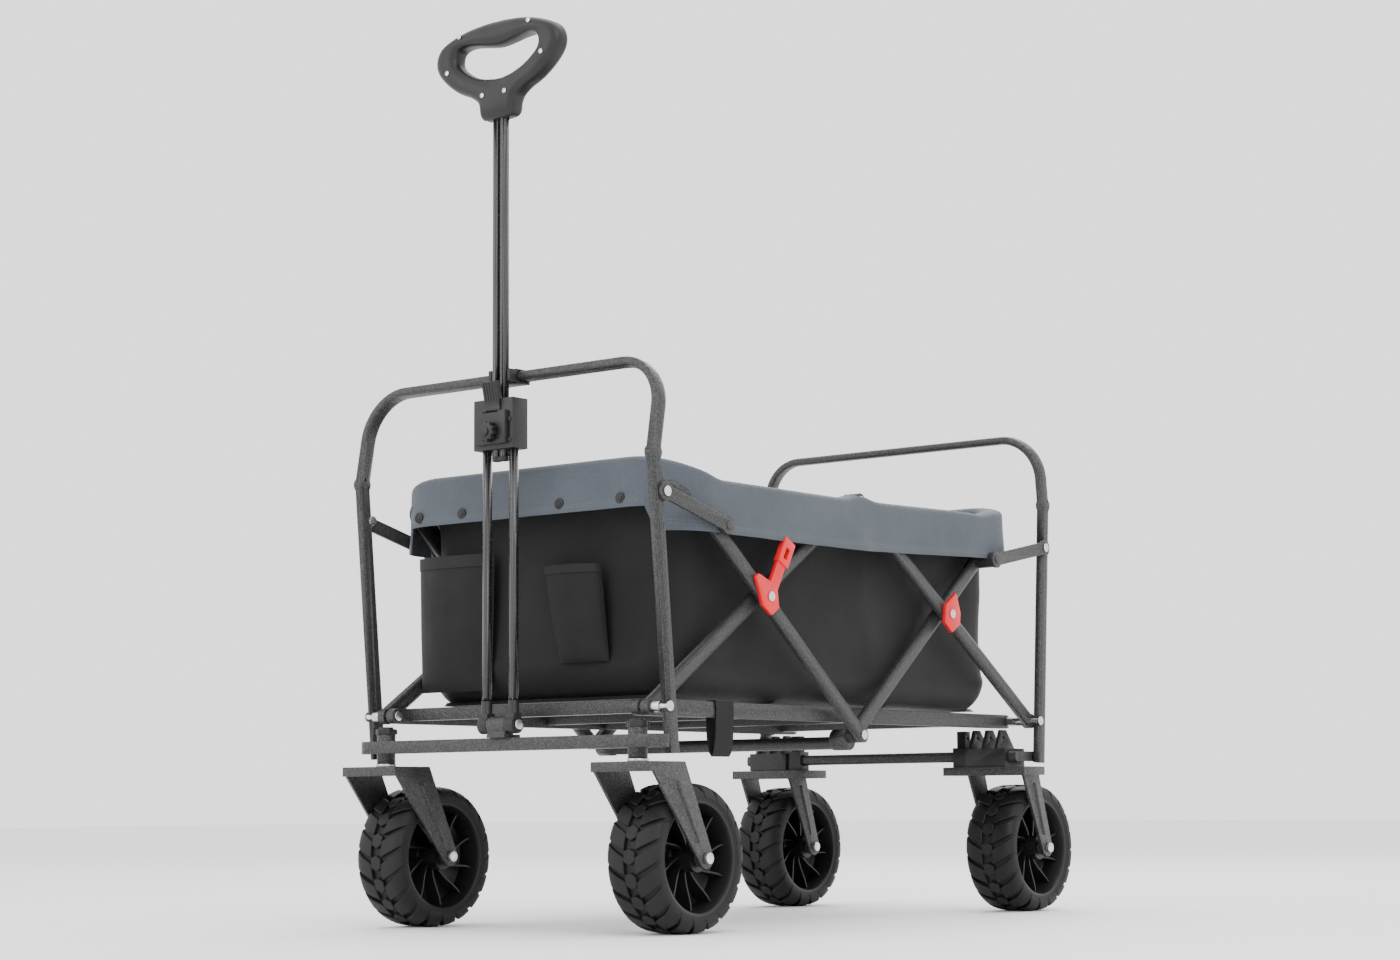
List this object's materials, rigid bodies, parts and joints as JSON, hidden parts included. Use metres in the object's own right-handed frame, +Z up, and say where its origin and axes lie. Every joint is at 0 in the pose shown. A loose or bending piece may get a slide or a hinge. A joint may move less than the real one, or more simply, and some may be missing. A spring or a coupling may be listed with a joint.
{
  "type": "folding beach cart",
  "caption": "Folding fabric-sided beach cart with a scissor frame, telescopic pull handle, swivelling front castors and wide off-road wheels.",
  "frame": {"origin": "on the floor under the middle of the cart's bounding box", "axes": "+X forwards to the handle end, +Y to the cart's left, +Z up"},
  "size_m": [1.013, 0.531, 1.16],
  "materials": {
    "painted_frame": "hammered charcoal powder coat",
    "black_tube": "gloss black",
    "zinc": "zinc plate",
    "black_plastic": "fine grained",
    "red_plastic": "semi gloss",
    "tyre_rubber": "matte rubber",
    "bush_nylon": "satin",
    "tub_cloth": "woven polyester",
    "rim_cloth": "woven polyester",
    "board_cloth": "woven polyester"
  },
  "bodies": {
    "front_frame": {"front_hoop": "painted_frame", "front_bumper": "painted_frame", "socket_caps": "black_plastic", "handle_bracket": "painted_frame", "handle_pivot_bolt": "zinc", "front_pivot_bolts": "zinc", "handle_clip": "black_plastic", "tub": "tub_cloth", "rim_flap": "rim_cloth"},
    "handle": {"handle_tubes": "black_tube", "handle_knuckles": "black_plastic", "clamp_block": "black_plastic"},
    "clamp_knob": {"clamp_knob": "black_plastic"},
    "clamp_tab": {"clamp_tab": "black_plastic"},
    "handle_shaft": {"shaft_tubes": "black_tube", "shaft_end_plug": "black_plastic", "grip_front_shell": "black_plastic", "grip_rear_shell": "black_plastic", "grip_screws": "zinc"},
    "castor_left": {"castor_fork_left": "painted_frame", "kingpin_left": "zinc", "front_axle_left": "zinc"},
    "castor_right": {"castor_fork_right": "painted_frame", "kingpin_right": "zinc", "front_axle_right": "zinc"},
    "wheel_front_left": {"tyre_front_left": "tyre_rubber", "rim_front_left": "black_plastic", "bush_front_left": "bush_nylon"},
    "wheel_front_right": {"tyre_front_right": "tyre_rubber", "rim_front_right": "black_plastic", "bush_front_right": "bush_nylon"},
    "rear_frame": {"rear_hoop": "painted_frame", "rear_crossbar": "painted_frame", "rear_brackets": "black_plastic", "rear_forks": "painted_frame", "rear_axles": "zinc", "rear_pivot_bolts": "zinc"},
    "wheel_rear_left": {"tyre_rear_left": "tyre_rubber", "rim_rear_left": "black_plastic", "bush_rear_left": "bush_nylon"},
    "wheel_rear_right": {"tyre_rear_right": "tyre_rubber", "rim_rear_right": "black_plastic", "bush_rear_right": "bush_nylon"},
    "front_arms": {"front_arms": "painted_frame"},
    "front_u_frame": {"front_u_frame": "painted_frame", "front_arm_rivets": "zinc"},
    "lock_lever_left": {"lock_lever_left": "red_plastic"},
    "lock_lever_right": {"lock_lever_right": "red_plastic"},
    "rear_arms": {"rear_arms": "painted_frame", "rear_arm_rivets": "zinc", "rear_arm_clips": "red_plastic"},
    "rear_u_frame": {"rear_u_frame": "painted_frame", "knuckle_tube": "painted_frame"},
    "front_links": {"front_links": "painted_frame"},
    "rear_links": {"rear_links": "painted_frame"},
    "base_front": {"base_front_frame": "painted_frame", "base_boards_front": "board_cloth"},
    "base_rear": {"base_rear_frame": "painted_frame", "base_boards_rear": "board_cloth"}
  },
  "joints": [
    {"name": "fold_slide", "type": "slide", "parent": "front_frame", "child": "rear_frame", "axis": [1, 0, 0], "range_m": [0, 0.553], "deforming": ["tub", "rim_flap"]},
    {"name": "front_arm_fold", "type": "hinge", "parent": "front_frame", "child": "front_arms", "pos_m": [0.4525, 0, 0.273], "axis": [0, 1, 0], "range_deg": [0, 40]},
    {"name": "front_u_fold", "type": "hinge", "parent": "front_arms", "child": "front_u_frame", "pos_m": [0.2359, 0, 0.41723], "axis": [0, 1, 0], "range_deg": [-75, 0]},
    {"name": "rear_arm_fold", "type": "hinge", "parent": "rear_frame", "child": "rear_arms", "pos_m": [-0.4035, 0, 0.273], "axis": [0, 1, 0], "range_deg": [-40, 0]},
    {"name": "rear_u_fold", "type": "hinge", "parent": "rear_arms", "child": "rear_u_frame", "pos_m": [-0.1869, 0, 0.41723], "axis": [0, 1, 0], "range_deg": [0, 75]},
    {"name": "base_front_fold", "type": "hinge", "parent": "front_frame", "child": "base_front", "pos_m": [0.4525, 0, 0.273], "axis": [0, 1, 0], "range_deg": [0, 70]},
    {"name": "base_rear_fold", "type": "hinge", "parent": "rear_frame", "child": "base_rear", "pos_m": [-0.4035, 0, 0.273], "axis": [0, 1, 0], "range_deg": [-70, 0]},
    {"name": "front_link_fold", "type": "hinge", "parent": "front_frame", "child": "front_links", "pos_m": [0.4605, 0, 0.531], "axis": [0, 1, 0], "range_deg": [0, 82.5]},
    {"name": "rear_link_fold", "type": "hinge", "parent": "rear_frame", "child": "rear_links", "pos_m": [-0.4225, 0, 0.526], "axis": [0, 1, 0], "range_deg": [-76, 0]},
    {"name": "handle_tilt", "type": "hinge", "parent": "front_frame", "child": "handle", "pos_m": [0.4745, 0, 0.256], "axis": [0, 1, 0], "range_deg": [0, 95]},
    {"name": "handle_slide", "type": "slide", "parent": "handle", "child": "handle_shaft", "axis": [0, 0, -1], "range_m": [0, 0.3]},
    {"name": "clamp_knob_turn", "type": "hinge", "parent": "handle", "child": "clamp_knob", "pos_m": [0.4945, 0, 0.623], "axis": [1, 0, 0], "range_deg": [0, 180]},
    {"name": "clamp_tab_press", "type": "hinge", "parent": "handle", "child": "clamp_tab", "pos_m": [0.4855, 0, 0.653], "axis": [0, 1, 0], "range_deg": [0, 20]},
    {"name": "castor_left_swivel", "type": "hinge", "parent": "front_frame", "child": "castor_left", "pos_m": [0.4615, 0.212, 0.209], "axis": [0, 0, 1], "continuous": true},
    {"name": "wheel_front_left_spin", "type": "hinge", "parent": "castor_left", "child": "wheel_front_left", "pos_m": [0.3895, 0.212, 0.091], "axis": [0, 1, 0], "continuous": true},
    {"name": "wheel_rear_left_spin", "type": "hinge", "parent": "rear_frame", "child": "wheel_rear_left", "pos_m": [-0.4155, 0.2075, 0.091], "axis": [0, 1, 0], "continuous": true},
    {"name": "lock_left_turn", "type": "hinge", "parent": "front_u_frame", "child": "lock_lever_left", "pos_m": [0.2359, 0.2433, 0.41723], "axis": [0, 1, 0], "range_deg": [-35, 0]},
    {"name": "castor_right_swivel", "type": "hinge", "parent": "front_frame", "child": "castor_right", "pos_m": [0.4615, -0.212, 0.209], "axis": [0, 0, 1], "continuous": true},
    {"name": "wheel_front_right_spin", "type": "hinge", "parent": "castor_right", "child": "wheel_front_right", "pos_m": [0.3895, -0.212, 0.091], "axis": [0, 1, 0], "continuous": true},
    {"name": "wheel_rear_right_spin", "type": "hinge", "parent": "rear_frame", "child": "wheel_rear_right", "pos_m": [-0.4155, -0.2075, 0.091], "axis": [0, 1, 0], "continuous": true},
    {"name": "lock_right_turn", "type": "hinge", "parent": "front_u_frame", "child": "lock_lever_right", "pos_m": [0.2359, -0.2433, 0.41723], "axis": [0, 1, 0], "range_deg": [-35, 0]}
  ],
  "couplings": [
    {"joint": "front_arm_fold", "follows": "fold_slide", "rad_per_m": 1.2374},
    {"joint": "front_u_fold", "follows": "fold_slide", "rad_per_m": -2.3429},
    {"joint": "rear_arm_fold", "follows": "fold_slide", "rad_per_m": -1.2374},
    {"joint": "rear_u_fold", "follows": "fold_slide", "rad_per_m": 2.3429},
    {"joint": "base_front_fold", "follows": "fold_slide", "rad_per_m": 2.1862},
    {"joint": "base_rear_fold", "follows": "fold_slide", "rad_per_m": -2.1862},
    {"joint": "front_link_fold", "follows": "fold_slide", "rad_per_m": 2.5775},
    {"joint": "rear_link_fold", "follows": "fold_slide", "rad_per_m": -2.3672}
  ]
}
